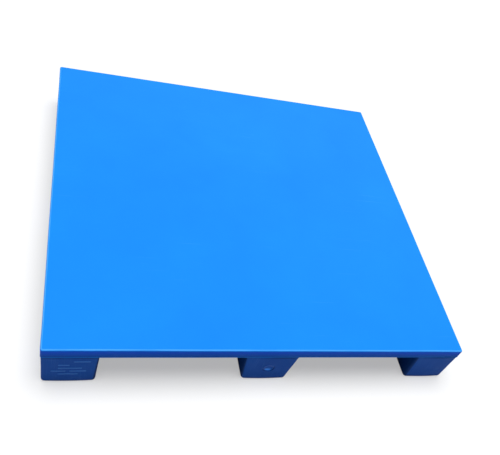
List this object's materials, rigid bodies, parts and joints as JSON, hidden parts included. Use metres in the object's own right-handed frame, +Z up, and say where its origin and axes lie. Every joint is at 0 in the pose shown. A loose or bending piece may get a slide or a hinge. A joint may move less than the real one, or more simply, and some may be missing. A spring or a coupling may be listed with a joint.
{
  "type": "plastic pallet",
  "caption": "Square four-way-entry plastic pallet with a closed flat deck on tapered hollow block legs, steel tubes inside the deck.",
  "frame": {"origin": "on the floor, under the middle of the deck", "axes": "+X along the front edge, from the left leg to the right leg; +Y from the front edge to the back edge; +Z up"},
  "size_m": [1.2, 1.2, 0.15],
  "materials": {
    "deck_plastic": "smooth moulded polyethylene, bright blue, satin",
    "leg_plastic": "smooth moulded polyethylene, bright blue, satin",
    "plug_plastic": "injection-moulded polyethylene, blue, satin",
    "galvanised_steel": "galvanised steel tube, spangled"
  },
  "bodies": {
    "root": {"deck_shell": "deck_plastic", "base_shell": "leg_plastic", "leg_front_left": "leg_plastic", "leg_front_middle": "leg_plastic", "leg_front_right": "leg_plastic", "leg_middle_left": "leg_plastic", "leg_centre": "leg_plastic", "leg_middle_right": "leg_plastic", "leg_back_left": "leg_plastic", "leg_back_middle": "leg_plastic", "leg_back_right": "leg_plastic", "vent_plug_front": "plug_plastic", "vent_plug_back": "plug_plastic", "reinforcing_tube_front": "galvanised_steel", "reinforcing_tube_front_inner": "galvanised_steel", "reinforcing_tube_middle": "galvanised_steel", "reinforcing_tube_back_inner": "galvanised_steel", "reinforcing_tube_back": "galvanised_steel", "tube_end_plug_front_left": "plug_plastic", "tube_end_plug_front_right": "plug_plastic", "tube_end_plug_front_inner_left": "plug_plastic", "tube_end_plug_front_inner_right": "plug_plastic", "tube_end_plug_middle_left": "plug_plastic", "tube_end_plug_middle_right": "plug_plastic", "tube_end_plug_back_inner_left": "plug_plastic", "tube_end_plug_back_inner_right": "plug_plastic", "tube_end_plug_back_left": "plug_plastic", "tube_end_plug_back_right": "plug_plastic"}
  },
  "joints": []
}
